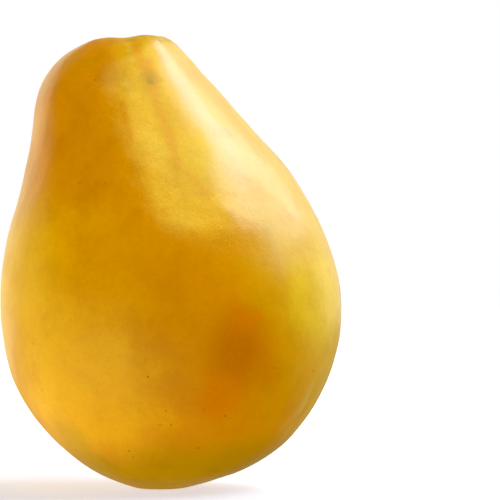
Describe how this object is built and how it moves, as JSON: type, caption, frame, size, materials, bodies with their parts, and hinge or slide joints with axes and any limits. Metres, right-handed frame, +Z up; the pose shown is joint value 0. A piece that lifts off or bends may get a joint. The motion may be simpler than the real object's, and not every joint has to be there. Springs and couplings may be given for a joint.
{
  "type": "papaya",
  "caption": "Whole ripe papaya, pear-shaped with a leaning neck and soft lobes, a dried stem stub in its dimple, standing on a small flat spot at the blossom end.",
  "frame": {"origin": "middle of the small flat spot at the blossom end, on which the fruit stands", "axes": "+Z up towards the stem end, -Y the front of the fruit, -X the way the neck leans"},
  "size_m": [0.1138, 0.1102, 0.1511],
  "materials": {
    "skin": "waxy fruit skin, amber to yellow, fine pores",
    "stem": "dry cork"
  },
  "bodies": {
    "root": {"fruit": "skin", "stem_stub": "stem"}
  },
  "joints": []
}
